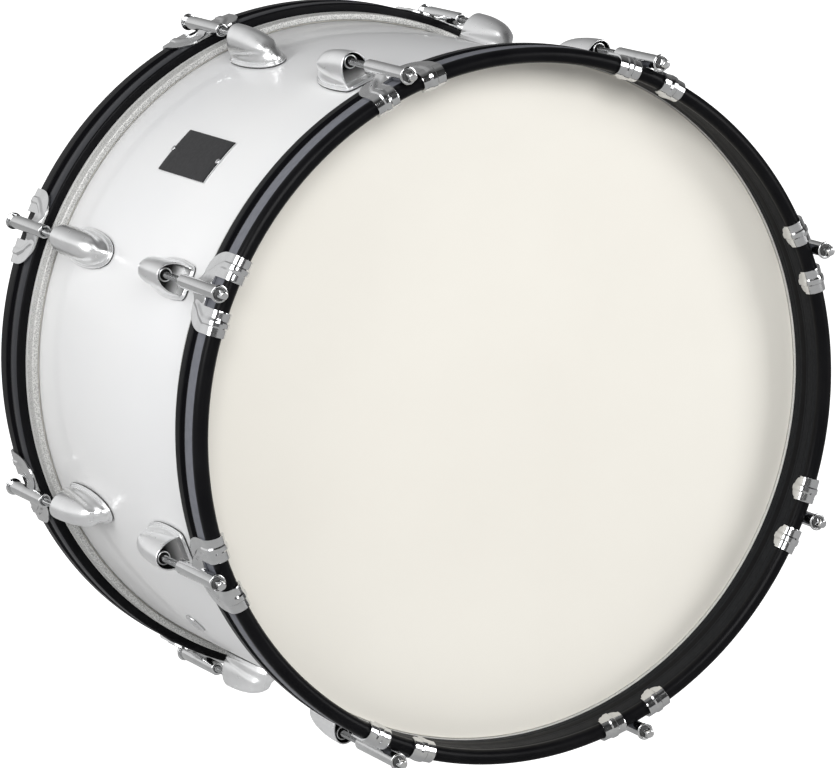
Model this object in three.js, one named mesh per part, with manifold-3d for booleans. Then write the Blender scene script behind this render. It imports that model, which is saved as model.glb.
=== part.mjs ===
// Marching bass drum, in millimetres, +Z up.
// The drum's axis is Y and the front head faces -Y.
// The origin lies on the ground under the middle of the shell, where both hoops stand.
// Every ring is drawn with flat facets, and its named radii are measured to those flats.

import * as THREE from 'three';
import { mergeVertices } from 'three/addons/utils/BufferGeometryUtils.js';
import Module from 'manifold-3d';

const wasm = await Module();
wasm.setup();

// Counts and facets
const RING_SIDES = 80;
const LUGS_PER_HEAD = 8;
const BEND_STEPS = 4;
const SLEEVE_SIDES = 16;
const ROD_SIDES = 8;
const ARCH_STEPS = 6;
const ROUND_STEPS = 5;

// Clearances
const SEAT_GAP = 0.3;
const THREAD_CLEARANCE = 0.35;
const CUT_OVERRUN = 2;

// Shell and its wrap
const SHELL_DEPTH = 304.8;
const SHELL_OUTER_RADIUS = 278.4;
const SHELL_THICKNESS = 6.5;
const BEARING_EDGE_SET_IN = 1.6;
const BEARING_EDGE_FALL = 4.4;
const WRAP_THICKNESS = 0.7;
const WRAP_END_SET_BACK = 6;

// Head film, stretched over the bearing edge and down the shell
const FILM_THICKNESS = 0.5;
const FILM_COLLAR_DEPTH = 11.5;

// Flesh hoop, the metal ring that the film is fixed in
const FLESH_HOOP_DEPTH = 14.7;
const FLESH_HOOP_THICKNESS = 5.5;

// Counter hoop
const HOOP_DEPTH = 40;
const HOOP_THICKNESS = 12.7;
const HOOP_OVERHANG = 43.1;
const HOOP_GROOVE_START = 9;
const HOOP_GROOVE_WIDTH = 9;
const HOOP_GROOVE_DEPTH = 0.6;

// Tension rods
const ROD_AXIS_HEIGHT = 6.5;
const ROD_DIAMETER = 5.5;
const ROD_REACH_IN_LUG = 24;
const WASHER_DIAMETER = 14.5;
const WASHER_THICKNESS = 1.8;
const KEY_HEAD_WIDTH = 6.4;
const KEY_HEAD_LENGTH = 9;
const FIRST_ROD_ANGLE = 22.5;

// Lugs
const LUG_NOSE_FROM_MIDDLE = 38.5;
const LUG_FLANGE_LENGTH = 72.5;
const LUG_FLANGE_WIDTH = 33;
const LUG_FLANGE_WIDEST_AT = 45.5;
const LUG_FLANGE_END_WIDTH = 29.6;
const LUG_FLANGE_CORNER = 6;
const LUG_FLANGE_THICKNESS = 2.4;
const LUG_BODY_NOSE_INSET = 2.5;
const LUG_FACE_INSET = 5.5;
const LUG_BODY_WIDTH = 28;
const LUG_ARCH_OVER_ROD = 9;
const LUG_WALL = 2.6;
const LUG_POCKET_DEPTH = 4;
const LUG_BORE_SPARE = 4;
const NUT_DIAMETER = 12;
const NUT_STAND = 2;

// Claws
const STRAP_WIDTH = 19;
const STRAP_THICKNESS = 2.2;
const STRAP_ANGLE = 4.5;
const STRAP_CORNER_WIDTH = 14;
const STRAP_CORNER_LENGTH = 20;
const STRAP_REAR_INSET = 1;
const TAB_DEPTH = 17;
const BEAD_WIDTH = 5;
const BEAD_HEIGHT = 0.9;
const BEAD_REAR_INSET = 14;
const BRIDGE_LAP = 4;
const BRIDGE_DEPTH = 22;
const SLEEVE_DIAMETER = 11.5;
const SLEEVE_LENGTH = 65;
const SLEEVE_PROUD_OF_HOOP = 4.5;
const NECK_FOOT_WIDTH = 25;

// Vent eyelet
const VENT_ANGLE = 226;
const VENT_FROM_MIDDLE = 12;
const VENT_FLANGE_DIAMETER = 20.6;
const VENT_FLANGE_THICKNESS = 1.4;
const VENT_BARREL_DIAMETER = 14;
const VENT_BORE_DIAMETER = 11;
const VENT_ROLL_DIAMETER = 18;

// Badge plate and its pins
const BADGE_ANGLE = 137.25;
const BADGE_FROM_MIDDLE = -3;
const BADGE_LENGTH = 86;
const BADGE_HALF_SWEEP = 4.35;
const BADGE_THICKNESS = 1.1;
const PIN_INSET = 3;
const PIN_SHANK_DIAMETER = 2.2;
const PIN_HEAD_DIAMETER = 5;
const PIN_HEAD_HEIGHT = 1.4;
const PIN_BITE = 5;
const PIN_SIDES = 8;

// Radii and stations that follow from the named sizes
const FULL_TURN = 360;
const HALF_FACET = Math.PI / RING_SIDES;
const SHELL_INNER_RADIUS = SHELL_OUTER_RADIUS - SHELL_THICKNESS;
const SHELL_HALF = SHELL_DEPTH / 2;
const WRAP_INNER_RADIUS = SHELL_OUTER_RADIUS + SEAT_GAP;
const WRAP_OUTER_RADIUS = WRAP_INNER_RADIUS + WRAP_THICKNESS;
const WRAP_HALF = SHELL_HALF - WRAP_END_SET_BACK;
const FILM_INNER_RADIUS = WRAP_OUTER_RADIUS + SEAT_GAP;
const FILM_OUTER_RADIUS = FILM_INNER_RADIUS + FILM_THICKNESS;
const FILM_UNDERSIDE = SHELL_HALF + SEAT_GAP;
const FILM_FACE = FILM_UNDERSIDE + FILM_THICKNESS;
const HOOP_INNER_RADIUS = FILM_OUTER_RADIUS + SEAT_GAP;
const HOOP_OUTER_RADIUS = HOOP_INNER_RADIUS + HOOP_THICKNESS;
const HOOP_FRONT = FILM_UNDERSIDE + HOOP_OVERHANG;
const HOOP_REAR = HOOP_FRONT - HOOP_DEPTH;
const HOOP_EDGE_RADIUS = HOOP_THICKNESS / 2;
const HOOP_EDGE_CENTRE = HOOP_FRONT - HOOP_EDGE_RADIUS;
const HOOP_MIDDLE_RADIUS = HOOP_OUTER_RADIUS - HOOP_EDGE_RADIUS;
const FLESH_HOOP_FRONT = HOOP_REAR - SEAT_GAP;
const ROD_AXIS_RADIUS = HOOP_OUTER_RADIUS + ROD_AXIS_HEIGHT;
const LUG_SEAT_RADIUS = WRAP_OUTER_RADIUS + SEAT_GAP;
const LUG_FACE = LUG_NOSE_FROM_MIDDLE + LUG_FLANGE_LENGTH - LUG_FACE_INSET;
const CLAW_SEAT_RADIUS = HOOP_OUTER_RADIUS + SEAT_GAP;
const STRAP_REAR = HOOP_REAR + STRAP_REAR_INSET;
const SLEEVE_FRONT = HOOP_FRONT + SLEEVE_PROUD_OF_HOOP;
const GROUND = HOOP_OUTER_RADIUS;

function radians(degrees) {
  return THREE.MathUtils.degToRad(degrees);
}

// Geometry to solid and back
function toSolid(geometry) {
  const bare = geometry.clone();
  bare.deleteAttribute('normal');
  bare.deleteAttribute('uv');
  const merged = mergeVertices(bare);
  const vertProperties = new Float32Array(merged.attributes.position.array);
  const triVerts = new Uint32Array(merged.index.array);
  return new wasm.Manifold(new wasm.Mesh({ numProp: 3, vertProperties, triVerts }));
}

function toGeometry(solid) {
  const mesh = solid.getMesh();
  const geometry = new THREE.BufferGeometry();
  const positions = new Float32Array(mesh.vertProperties);
  geometry.setAttribute('position', new THREE.BufferAttribute(positions, mesh.numProp));
  geometry.setIndex(new THREE.BufferAttribute(new Uint32Array(mesh.triVerts), 1));
  geometry.computeVertexNormals();
  return geometry;
}

function join(geometries) {
  const [first, ...others] = geometries.map(toSolid);
  return others.reduce((sum, solid) => sum.add(solid), first);
}

// A ring about the Y axis, from [radius, station] points that run counter-clockwise
function ring(points) {
  const toCorner = 1 / Math.cos(HALF_FACET);
  const profile = points.map(([radius, y]) => new THREE.Vector2(radius * toCorner, y));
  const closed = points[0][0] > 0;
  if (closed) {
    profile.push(profile[0].clone());
  }
  return new THREE.LatheGeometry(profile, RING_SIDES, HALF_FACET);
}

// A cylinder along Y between two stations, at a height above the drum's axis
function rodAlongY(radius, from, to, height, sides) {
  const geometry = new THREE.CylinderGeometry(radius, radius, to - from, sides, 1, false);
  geometry.rotateY(Math.PI / sides);
  geometry.translate(0, (from + to) / 2, height);
  return geometry;
}

// A flat plate drawn in plan (X across, Y along) and raised from a height
function plate(shape, height, thickness) {
  const options = { depth: thickness, bevelEnabled: false, curveSegments: ROUND_STEPS };
  const geometry = new THREE.ExtrudeGeometry(shape, options);
  geometry.translate(0, 0, height);
  return geometry;
}

// A section drawn as (station, radius) and drawn out across the tangent
function bar(shape, width) {
  const options = { depth: width, bevelEnabled: false, curveSegments: BEND_STEPS };
  const geometry = new THREE.ExtrudeGeometry(shape, options);
  geometry.translate(0, 0, -width / 2);
  const along = new THREE.Vector3(0, 1, 0);
  const up = new THREE.Vector3(0, 0, 1);
  const across = new THREE.Vector3(1, 0, 0);
  geometry.applyMatrix4(new THREE.Matrix4().makeBasis(along, up, across));
  return geometry;
}

// Points of a half circle from its outer side, round the front, to its inner side
function halfRound(centreStation, centreRadius, radius) {
  const points = [];
  for (let step = 0; step <= BEND_STEPS; step += 1) {
    const angle = (Math.PI * step) / BEND_STEPS;
    const station = centreStation + radius * Math.sin(angle);
    points.push([centreRadius + radius * Math.cos(angle), station]);
  }
  return points;
}

// Materials
function finish(color, roughness, metalness) {
  return new THREE.MeshStandardMaterial({ color, roughness, metalness });
}

const lacquer = () => finish(0x0b0b0c, 0.22, 0);
const whiteWrap = () => finish(0xe9e9ea, 0.3, 0);
const maple = () => finish(0xb98d5c, 0.6, 0);
const headFilm = () => finish(0xe8e3d8, 0.42, 0);
const brushedRing = () => finish(0xb4b6b9, 0.35, 1);
const castChrome = () => finish(0xc3c5c8, 0.28, 1);
const brightChrome = () => finish(0xd2d4d6, 0.16, 1);
const darkPlate = () => finish(0x3a3b3d, 0.38, 1);

// Shell: a wooden tube with a bearing edge at each end
function shellBlank() {
  const edge = SHELL_OUTER_RADIUS - BEARING_EDGE_SET_IN;
  const shoulder = SHELL_HALF - BEARING_EDGE_SET_IN;
  const foot = SHELL_HALF - BEARING_EDGE_FALL;
  return toSolid(ring([
    [SHELL_INNER_RADIUS, -foot],
    [edge, -SHELL_HALF],
    [SHELL_OUTER_RADIUS, -shoulder],
    [SHELL_OUTER_RADIUS, shoulder],
    [edge, SHELL_HALF],
    [SHELL_INNER_RADIUS, foot],
  ]));
}

function wrapBlank() {
  return toSolid(ring([
    [WRAP_INNER_RADIUS, -WRAP_HALF],
    [WRAP_OUTER_RADIUS, -WRAP_HALF],
    [WRAP_OUTER_RADIUS, WRAP_HALF],
    [WRAP_INNER_RADIUS, WRAP_HALF],
  ]));
}

// Turns a geometry built at the top of the drum to an angle, counted from +X towards +Z
function turnTo(geometry, angle) {
  geometry.rotateY(Math.PI / 2 - radians(angle));
  return geometry;
}

// A cylinder that points out of the drum's axis
function radialCylinder(radius, from, to, station, sides) {
  const geometry = new THREE.CylinderGeometry(radius, radius, to - from, sides, 1, false);
  geometry.rotateX(Math.PI / 2);
  geometry.translate(0, station, (from + to) / 2);
  return geometry;
}

function ventHole() {
  const radius = VENT_BARREL_DIAMETER / 2 + SEAT_GAP;
  const from = SHELL_INNER_RADIUS - CUT_OVERRUN;
  const to = WRAP_OUTER_RADIUS + CUT_OVERRUN;
  const hole = radialCylinder(radius, from, to, VENT_FROM_MIDDLE, SLEEVE_SIDES);
  return toSolid(turnTo(hole, VENT_ANGLE));
}

const PIN_REACH = BADGE_LENGTH / 2 - PIN_INSET;
const PIN_STATIONS = [BADGE_FROM_MIDDLE - PIN_REACH, BADGE_FROM_MIDDLE + PIN_REACH];
const CORNER_SCALE = 1 / Math.cos(HALF_FACET);
const PIN_TIP_RADIUS = SHELL_OUTER_RADIUS - PIN_BITE;

function pinHole(station) {
  const radius = PIN_SHANK_DIAMETER / 2 + SEAT_GAP;
  const from = PIN_TIP_RADIUS - SEAT_GAP;
  const to = WRAP_OUTER_RADIUS * CORNER_SCALE + BADGE_THICKNESS + CUT_OVERRUN;
  return toSolid(turnTo(radialCylinder(radius, from, to, station, PIN_SIDES), BADGE_ANGLE));
}

function drilled(blank) {
  let solid = blank.subtract(ventHole());
  for (const station of PIN_STATIONS) {
    solid = solid.subtract(pinHole(station));
  }
  return toGeometry(solid);
}

// Head film: a flat skin with a collar
function filmGeometry() {
  const collarEnd = FILM_FACE - FILM_COLLAR_DEPTH;
  return ring([
    [0, FILM_UNDERSIDE],
    [FILM_INNER_RADIUS, FILM_UNDERSIDE],
    [FILM_INNER_RADIUS, collarEnd],
    [FILM_OUTER_RADIUS, collarEnd],
    [FILM_OUTER_RADIUS, FILM_FACE],
    [0, FILM_FACE],
  ]);
}

function fleshHoopGeometry() {
  const rear = FLESH_HOOP_FRONT - FLESH_HOOP_DEPTH;
  const outer = HOOP_INNER_RADIUS + FLESH_HOOP_THICKNESS;
  return ring([
    [HOOP_INNER_RADIUS, rear],
    [outer, rear],
    [outer, FLESH_HOOP_FRONT],
    [HOOP_INNER_RADIUS, FLESH_HOOP_FRONT],
  ]);
}

// Counter hoop: a flat band with a shallow groove and a fully rounded front edge
function hoopGeometry() {
  const grooveRadius = HOOP_OUTER_RADIUS - HOOP_GROOVE_DEPTH;
  const grooveStart = HOOP_REAR + HOOP_GROOVE_START;
  const grooveEnd = grooveStart + HOOP_GROOVE_WIDTH;
  return ring([
    [HOOP_INNER_RADIUS, HOOP_REAR],
    [HOOP_OUTER_RADIUS, HOOP_REAR],
    [HOOP_OUTER_RADIUS, grooveStart],
    [grooveRadius, grooveStart + HOOP_GROOVE_DEPTH],
    [grooveRadius, grooveEnd - HOOP_GROOVE_DEPTH],
    [HOOP_OUTER_RADIUS, grooveEnd],
    ...halfRound(HOOP_EDGE_CENTRE, HOOP_MIDDLE_RADIUS, HOOP_EDGE_RADIUS),
  ]);
}

// Lug: an egg-shaped flange, and on it a bullet body open towards the hoop
function lugFlange() {
  const half = LUG_FLANGE_WIDTH / 2;
  const endHalf = LUG_FLANGE_END_WIDTH / 2;
  const innerHalf = endHalf - LUG_FLANGE_CORNER;
  const widest = LUG_NOSE_FROM_MIDDLE + LUG_FLANGE_WIDEST_AT;
  const end = LUG_NOSE_FROM_MIDDLE + LUG_FLANGE_LENGTH;
  const cornerStart = end - LUG_FLANGE_CORNER;
  const shape = new THREE.Shape();
  shape.moveTo(innerHalf, end);
  shape.lineTo(-innerHalf, end);
  shape.quadraticCurveTo(-endHalf, end, -endHalf, cornerStart);
  shape.lineTo(-half, widest);
  shape.absellipse(0, widest, half, LUG_FLANGE_WIDEST_AT, Math.PI, 2 * Math.PI, false);
  shape.lineTo(endHalf, cornerStart);
  shape.quadraticCurveTo(endHalf, end, innerHalf, end);
  shape.closePath();
  return plate(shape, LUG_SEAT_RADIUS, LUG_FLANGE_THICKNESS);
}

// The body's sections from the nose to the open face, as shares of its length, its half width
// at the foot and at the crease, and its height at the crease and at the crown
const LUG_SECTION_SHARES = [
  [0, 0.22, 0.1, 0.08, 0.1],
  [0.08, 0.54, 0.24, 0.26, 0.31],
  [0.16, 0.72, 0.34, 0.49, 0.57],
  [0.3, 0.88, 0.56, 0.49, 0.79],
  [0.48, 0.98, 0.73, 0.45, 0.9],
  [0.73, 1, 0.87, 0.38, 0.97],
  [1, 0.93, 0.92, 0.29, 1],
];

function lugHeight() {
  return ROD_AXIS_RADIUS + LUG_ARCH_OVER_ROD - lugFoot();
}

function lugFoot() {
  return LUG_SEAT_RADIUS + LUG_FLANGE_THICKNESS / 2;
}

// Two foot corners, then an arch from one crease over the crown to the other
function lugSection(foot, creaseHalf, creaseHeight, crown) {
  const points = [[-foot, 0], [foot, 0]];
  for (let step = 0; step <= ARCH_STEPS; step += 1) {
    const angle = (Math.PI * step) / ARCH_STEPS;
    const rise = (crown - creaseHeight) * Math.sin(angle);
    points.push([creaseHalf * Math.cos(angle), creaseHeight + rise]);
  }
  return points;
}

function lugBody() {
  const start = LUG_NOSE_FROM_MIDDLE + LUG_BODY_NOSE_INSET;
  const half = LUG_BODY_WIDTH / 2;
  const height = lugHeight();
  const positions = [];
  for (const [along, foot, crease, low, crown] of LUG_SECTION_SHARES) {
    const y = start + (LUG_FACE - start) * along;
    for (const [x, z] of lugSection(half * foot, half * crease, height * low, height * crown)) {
      positions.push(x, y, lugFoot() + z);
    }
  }
  return loftGeometry(positions, LUG_SECTION_SHARES.length);
}

// The recess in the open face, which follows the face's arch inside an even wall
function lugPocket() {
  const [, foot, crease, low, crown] = LUG_SECTION_SHARES[LUG_SECTION_SHARES.length - 1];
  const half = LUG_BODY_WIDTH / 2;
  const height = lugHeight();
  const floor = LUG_SEAT_RADIUS + LUG_FLANGE_THICKNESS;
  const outline = lugSection(
    half * foot - LUG_WALL,
    half * crease - LUG_WALL,
    height * low - LUG_WALL,
    height * crown - LUG_WALL,
  );
  const positions = [];
  for (const y of [LUG_FACE - LUG_POCKET_DEPTH, LUG_FACE + CUT_OVERRUN]) {
    for (const [x, z] of outline) {
      positions.push(x, y, Math.max(lugFoot() + z, floor));
    }
  }
  return loftGeometry(positions, 2);
}

// Closes a row of equal sections into one body; each section runs the same way round
function loftGeometry(positions, sections) {
  const perSection = positions.length / 3 / sections;
  const index = [];
  for (let row = 0; row < sections - 1; row += 1) {
    for (let point = 0; point < perSection; point += 1) {
      const next = (point + 1) % perSection;
      const a = row * perSection + point;
      const b = row * perSection + next;
      index.push(a, b, a + perSection);
      index.push(b, b + perSection, a + perSection);
    }
  }
  const last = (sections - 1) * perSection;
  for (let point = 1; point < perSection - 1; point += 1) {
    index.push(0, point + 1, point);
    index.push(last, last + point, last + point + 1);
  }
  for (let corner = 0; corner < index.length; corner += 3) {
    [index[corner + 1], index[corner + 2]] = [index[corner + 2], index[corner + 1]];
  }
  const geometry = new THREE.BufferGeometry();
  geometry.setAttribute('position', new THREE.Float32BufferAttribute(positions, 3));
  geometry.setIndex(index);
  return geometry;
}

function lugGeometry() {
  const bore = (ROD_DIAMETER / 2 + THREAD_CLEARANCE) / Math.cos(Math.PI / ROD_SIDES);
  const boreEnd = LUG_FACE - ROD_REACH_IN_LUG - LUG_BORE_SPARE;
  const pocketEnd = LUG_FACE - LUG_POCKET_DEPTH;
  const nutFoot = pocketEnd - NUT_STAND;
  const nutTop = pocketEnd + NUT_STAND;
  const nut = rodAlongY(NUT_DIAMETER / 2, nutFoot, nutTop, ROD_AXIS_RADIUS, ROD_SIDES);
  const hole = rodAlongY(bore, boreEnd, LUG_FACE, ROD_AXIS_RADIUS, ROD_SIDES);
  const casting = join([lugFlange(), lugBody()]).subtract(toSolid(lugPocket()));
  return toGeometry(casting.add(toSolid(nut)).subtract(toSolid(hole)));
}

// Claw: two hooked straps over the hoop, a bridge between them and a sleeve for the rod
// The ear's rear corner is rounded on the side away from the rod, which outward says by its sign
function strapEar(outward) {
  const half = STRAP_WIDTH / 2;
  const round = half - STRAP_CORNER_WIDTH;
  const shape = new THREE.Shape();
  shape.moveTo(-half * outward, STRAP_REAR);
  for (let step = 0; step <= BEND_STEPS; step += 1) {
    const angle = (Math.PI / 2) * (step / BEND_STEPS);
    const x = round + STRAP_CORNER_WIDTH * Math.sin(angle);
    shape.lineTo(x * outward, STRAP_REAR + STRAP_CORNER_LENGTH * (1 - Math.cos(angle)));
  }
  shape.lineTo(half * outward, HOOP_EDGE_CENTRE);
  shape.lineTo(-half * outward, HOOP_EDGE_CENTRE);
  shape.closePath();
  return plate(shape, CLAW_SEAT_RADIUS, STRAP_THICKNESS);
}

function bend(inner, outer, width) {
  const far = halfRound(HOOP_EDGE_CENTRE, HOOP_MIDDLE_RADIUS, outer);
  const near = halfRound(HOOP_EDGE_CENTRE, HOOP_MIDDLE_RADIUS, inner).reverse();
  const corners = [...far, ...near].map(([radius, y]) => new THREE.Vector2(y, radius));
  return bar(new THREE.Shape(corners), width);
}

function strapBend() {
  const inner = HOOP_EDGE_RADIUS + SEAT_GAP;
  return bend(inner, inner + STRAP_THICKNESS, STRAP_WIDTH);
}

// A raised bead along the middle of the strap, over its ear and round its bend
function strapBead() {
  const inner = HOOP_EDGE_RADIUS + SEAT_GAP + STRAP_THICKNESS / 2;
  const outer = HOOP_EDGE_RADIUS + SEAT_GAP + STRAP_THICKNESS + BEAD_HEIGHT;
  const half = BEAD_WIDTH / 2;
  const rear = STRAP_REAR + BEAD_REAR_INSET;
  const shape = new THREE.Shape();
  shape.moveTo(half, HOOP_EDGE_CENTRE);
  shape.lineTo(-half, HOOP_EDGE_CENTRE);
  shape.lineTo(-half, rear);
  shape.lineTo(half, rear);
  shape.closePath();
  const ridge = plate(shape, HOOP_MIDDLE_RADIUS + inner, outer - inner);
  return [bend(inner, outer, BEAD_WIDTH), ridge];
}

function strapTab() {
  const half = STRAP_WIDTH / 2;
  const round = HOOP_FRONT - TAB_DEPTH + half;
  const shape = new THREE.Shape();
  shape.moveTo(half, HOOP_EDGE_CENTRE);
  shape.lineTo(-half, HOOP_EDGE_CENTRE);
  shape.lineTo(-half, round);
  shape.absarc(0, round, half, Math.PI, 2 * Math.PI, false);
  shape.closePath();
  const outer = HOOP_INNER_RADIUS - SEAT_GAP;
  return plate(shape, outer - STRAP_THICKNESS, STRAP_THICKNESS);
}

function strap(outward) {
  const parts = [strapEar(outward), strapBend(), ...strapBead(), strapTab()];
  return parts.map((part) => part.rotateY(outward * radians(STRAP_ANGLE)));
}

function clawBridge() {
  const strapCentre = CLAW_SEAT_RADIUS * Math.sin(radians(STRAP_ANGLE));
  const half = strapCentre - STRAP_WIDTH / 2 + BRIDGE_LAP;
  const shape = new THREE.Shape();
  shape.moveTo(half, STRAP_REAR + BRIDGE_DEPTH);
  shape.lineTo(-half, STRAP_REAR + BRIDGE_DEPTH);
  shape.lineTo(-half, STRAP_REAR);
  shape.lineTo(half, STRAP_REAR);
  shape.closePath();
  return plate(shape, CLAW_SEAT_RADIUS, STRAP_THICKNESS);
}

function clawNeck() {
  const foot = CLAW_SEAT_RADIUS + STRAP_THICKNESS / 2;
  const shape = new THREE.Shape();
  shape.moveTo(NECK_FOOT_WIDTH / 2, -foot);
  shape.lineTo(SLEEVE_DIAMETER / 2, -ROD_AXIS_RADIUS);
  shape.lineTo(-SLEEVE_DIAMETER / 2, -ROD_AXIS_RADIUS);
  shape.lineTo(-NECK_FOOT_WIDTH / 2, -foot);
  shape.closePath();
  const options = { depth: BRIDGE_DEPTH - STRAP_REAR_INSET, bevelEnabled: false };
  const geometry = new THREE.ExtrudeGeometry(shape, options);
  geometry.rotateX(-Math.PI / 2);
  geometry.translate(0, STRAP_REAR + STRAP_REAR_INSET / 2, 0);
  return geometry;
}

function clawGeometry() {
  const bore = (ROD_DIAMETER / 2 + THREAD_CLEARANCE) / Math.cos(Math.PI / ROD_SIDES);
  const rear = SLEEVE_FRONT - SLEEVE_LENGTH;
  const outer = SLEEVE_DIAMETER / 2;
  const sleeve = rodAlongY(outer, rear, SLEEVE_FRONT, ROD_AXIS_RADIUS, SLEEVE_SIDES);
  const holeRear = rear - CUT_OVERRUN;
  const holeFront = SLEEVE_FRONT + CUT_OVERRUN;
  const hole = rodAlongY(bore, holeRear, holeFront, ROD_AXIS_RADIUS, ROD_SIDES);
  const straps = [...strap(-1), ...strap(1)];
  const body = join([...straps, clawBridge(), clawNeck(), sleeve]);
  return toGeometry(body.subtract(toSolid(hole)));
}

// Tension rod: a threaded shaft, a washer and a square key head, turned about its own axis
function rodGeometry() {
  const tip = LUG_FACE - ROD_REACH_IN_LUG;
  const washerStart = SLEEVE_FRONT + SEAT_GAP;
  const washerEnd = washerStart + WASHER_THICKNESS;
  const headEnd = washerEnd + KEY_HEAD_LENGTH;
  const shaft = rodAlongY(ROD_DIAMETER / 2, tip, washerEnd, 0, ROD_SIDES);
  const washer = rodAlongY(WASHER_DIAMETER / 2, washerStart, washerEnd, 0, ROD_SIDES);
  const corner = KEY_HEAD_WIDTH / 2 / Math.cos(Math.PI / 4);
  const head = rodAlongY(corner, washerEnd - WASHER_THICKNESS / 2, headEnd, 0, 4);
  return toGeometry(join([shaft, washer, head]));
}

// Vent eyelet: a flanged tube through the shell, rolled over inside
function ventGeometry() {
  const bore = VENT_BORE_DIAMETER / 2;
  const barrel = VENT_BARREL_DIAMETER / 2;
  const rollTop = SHELL_INNER_RADIUS - SEAT_GAP;
  const flangeFoot = WRAP_OUTER_RADIUS * CORNER_SCALE + SEAT_GAP;
  const rollFoot = rollTop - VENT_FLANGE_THICKNESS;
  const flangeTop = flangeFoot + VENT_FLANGE_THICKNESS;
  const points = [
    [bore, rollFoot],
    [VENT_ROLL_DIAMETER / 2, rollFoot],
    [VENT_ROLL_DIAMETER / 2, rollTop],
    [barrel, rollTop],
    [barrel, flangeFoot],
    [VENT_FLANGE_DIAMETER / 2, flangeFoot],
    [VENT_FLANGE_DIAMETER / 2 - VENT_FLANGE_THICKNESS, flangeTop],
    [bore, flangeTop],
    [bore, rollFoot],
  ];
  const profile = points.map(([radius, height]) => new THREE.Vector2(radius, height));
  const geometry = new THREE.LatheGeometry(profile, SLEEVE_SIDES);
  geometry.rotateX(Math.PI / 2);
  geometry.translate(0, VENT_FROM_MIDDLE, 0);
  return turnTo(geometry, VENT_ANGLE);
}

// Badge: a thin plate bent once over the corner between two facets of the wrap
function badgeGeometry() {
  const sweep = radians(BADGE_HALF_SWEEP);
  const toEdge = 1 / Math.cos(sweep - HALF_FACET);
  const seat = WRAP_OUTER_RADIUS + SEAT_GAP;
  const top = seat + BADGE_THICKNESS;
  const corners = [
    [-sweep, seat * toEdge],
    [0, seat * CORNER_SCALE],
    [sweep, seat * toEdge],
    [sweep, top * toEdge],
    [0, top * CORNER_SCALE],
    [-sweep, top * toEdge],
  ];
  const outline = corners.map(([angle, radius]) => (
    new THREE.Vector2(radius * Math.sin(angle), -radius * Math.cos(angle))
  ));
  const options = { depth: BADGE_LENGTH, bevelEnabled: false };
  const geometry = new THREE.ExtrudeGeometry(new THREE.Shape(outline), options);
  geometry.rotateX(-Math.PI / 2);
  geometry.translate(0, BADGE_FROM_MIDDLE - BADGE_LENGTH / 2, 0);
  let solid = toSolid(turnTo(geometry, BADGE_ANGLE));
  for (const station of PIN_STATIONS) {
    solid = solid.subtract(pinHole(station));
  }
  return toGeometry(solid);
}

function pinGeometry(station) {
  const seat = (WRAP_OUTER_RADIUS + SEAT_GAP + BADGE_THICKNESS) * CORNER_SCALE + SEAT_GAP;
  const top = seat + PIN_HEAD_HEIGHT;
  const shankTop = seat + PIN_HEAD_HEIGHT / 2;
  const shankRadius = PIN_SHANK_DIAMETER / 2;
  const shank = radialCylinder(shankRadius, PIN_TIP_RADIUS, shankTop, station, PIN_SIDES);
  const head = radialCylinder(PIN_HEAD_DIAMETER / 2, seat, top, station, PIN_SIDES);
  return turnTo(toGeometry(join([shank, head])), BADGE_ANGLE);
}

// Assembly
const drum = new THREE.Group();
drum.position.set(0, 0, GROUND);

function addPiece(parent, name, geometry, material) {
  const mesh = new THREE.Mesh(geometry, material);
  mesh.name = name;
  parent.add(mesh);
  return mesh;
}

addPiece(drum, 'shell', drilled(shellBlank()), maple());
addPiece(drum, 'shell_wrap', drilled(wrapBlank()), whiteWrap());
addPiece(drum, 'vent_grommet', ventGeometry(), brightChrome());
addPiece(drum, 'badge_plate', badgeGeometry(), darkPlate());
addPiece(drum, 'badge_pin_front', pinGeometry(PIN_STATIONS[0]), brightChrome());
addPiece(drum, 'badge_pin_rear', pinGeometry(PIN_STATIONS[1]), brightChrome());

// Each head's group is built with Y pointing out of the drum; the front one is turned about Z
const HEAD_TURNS = { rear: 0, front: Math.PI };
for (const [side, turn] of Object.entries(HEAD_TURNS)) {
  const head = new THREE.Group();
  head.rotation.z = turn;
  drum.add(head);
  addPiece(head, `${side}_head`, filmGeometry(), headFilm());
  addPiece(head, `${side}_flesh_hoop`, fleshHoopGeometry(), brushedRing());
  addPiece(head, `${side}_hoop`, hoopGeometry(), lacquer());
  for (let station = 0; station < LUGS_PER_HEAD; station += 1) {
    const post = new THREE.Group();
    const angle = FIRST_ROD_ANGLE + (FULL_TURN / LUGS_PER_HEAD) * station;
    post.rotation.y = -radians(angle);
    head.add(post);
    addPiece(post, `${side}_lug_${station + 1}`, lugGeometry(), castChrome());
    addPiece(post, `${side}_claw_${station + 1}`, clawGeometry(), brightChrome());
    const rod = addPiece(post, `${side}_rod_${station + 1}`, rodGeometry(), brightChrome());
    rod.position.z = ROD_AXIS_RADIUS;
  }
}

export default drum;
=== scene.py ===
# Marching bass drum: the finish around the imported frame.
# The drum's sizes are in millimetres and its meshes are turned to metres where they are made.
import math

import bmesh
import bpy
from mathutils import Matrix, Vector


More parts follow.
